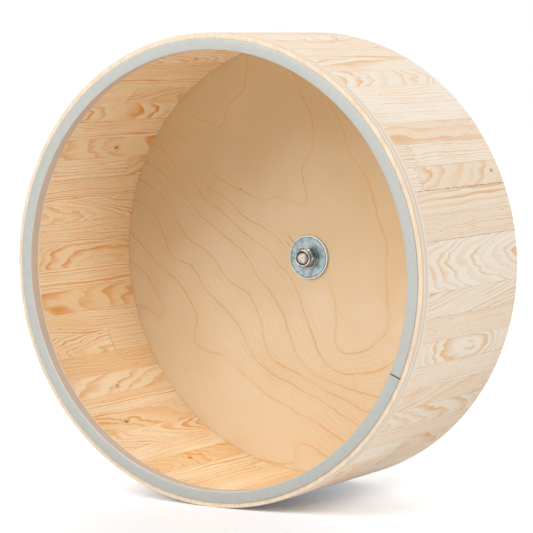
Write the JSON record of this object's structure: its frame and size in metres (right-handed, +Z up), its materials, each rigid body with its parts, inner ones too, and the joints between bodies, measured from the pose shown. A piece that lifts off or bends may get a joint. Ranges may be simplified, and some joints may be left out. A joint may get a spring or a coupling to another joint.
{
  "type": "rodent exercise wheel",
  "caption": "Wooden drum exercise wheel for small rodents, open at the front, turning on a ball bearing round a fixed threaded axle that bolts through a cage wall.",
  "frame": {"origin": "on the axle's centre line, at the rear face of the mounting washer, where the part meets the cage wall", "axes": "+Y along the axle from the open front towards the cage wall and the free threaded end, +Z up"},
  "size_m": [0.3086, 0.1838, 0.3086],
  "materials": {
    "stave_pine": "sanded, untreated",
    "ring_plywood": "sanded, untreated",
    "disc_plywood": "sanded, untreated",
    "trim_metal": "satin",
    "zinc_steel": "zinc plated",
    "bearing_steel": "ground",
    "nylon": "matt"
  },
  "bodies": {
    "axle_set": {"axle": "zinc_steel", "nut_body": "zinc_steel", "nut_insert": "nylon", "small_washer": "zinc_steel", "large_washer": "zinc_steel", "front_spacer": "zinc_steel", "mounting_washer": "zinc_steel", "bearing_inner_race": "bearing_steel"},
    "wheel": {"front_ring": "ring_plywood", "back_disc": "disc_plywood", "rim_trim": "trim_metal", "bearing_outer_race": "bearing_steel", "bearing_shield_front": "bearing_steel", "bearing_shield_rear": "bearing_steel", "staves_01": "stave_pine", "staves_02": "stave_pine", "staves_03": "stave_pine", "staves_04": "stave_pine", "staves_05": "stave_pine", "staves_06": "stave_pine", "staves_07": "stave_pine", "staves_08": "stave_pine", "staves_09": "stave_pine", "staves_10": "stave_pine", "staves_11": "stave_pine", "staves_12": "stave_pine", "staves_13": "stave_pine", "staves_14": "stave_pine", "staves_15": "stave_pine", "staves_16": "stave_pine", "staves_17": "stave_pine", "staves_18": "stave_pine", "staves_19": "stave_pine", "staves_20": "stave_pine", "staves_21": "stave_pine", "staves_22": "stave_pine", "staves_23": "stave_pine", "staves_24": "stave_pine", "staves_25": "stave_pine", "staves_26": "stave_pine", "staves_27": "stave_pine", "staves_28": "stave_pine", "staves_29": "stave_pine", "staves_30": "stave_pine"}
  },
  "joints": [
    {"name": "wheel_spin", "type": "hinge", "parent": "axle_set", "child": "wheel", "pos_m": [0, -0.0135, 0], "axis": [0, 1, 0], "continuous": true}
  ]
}
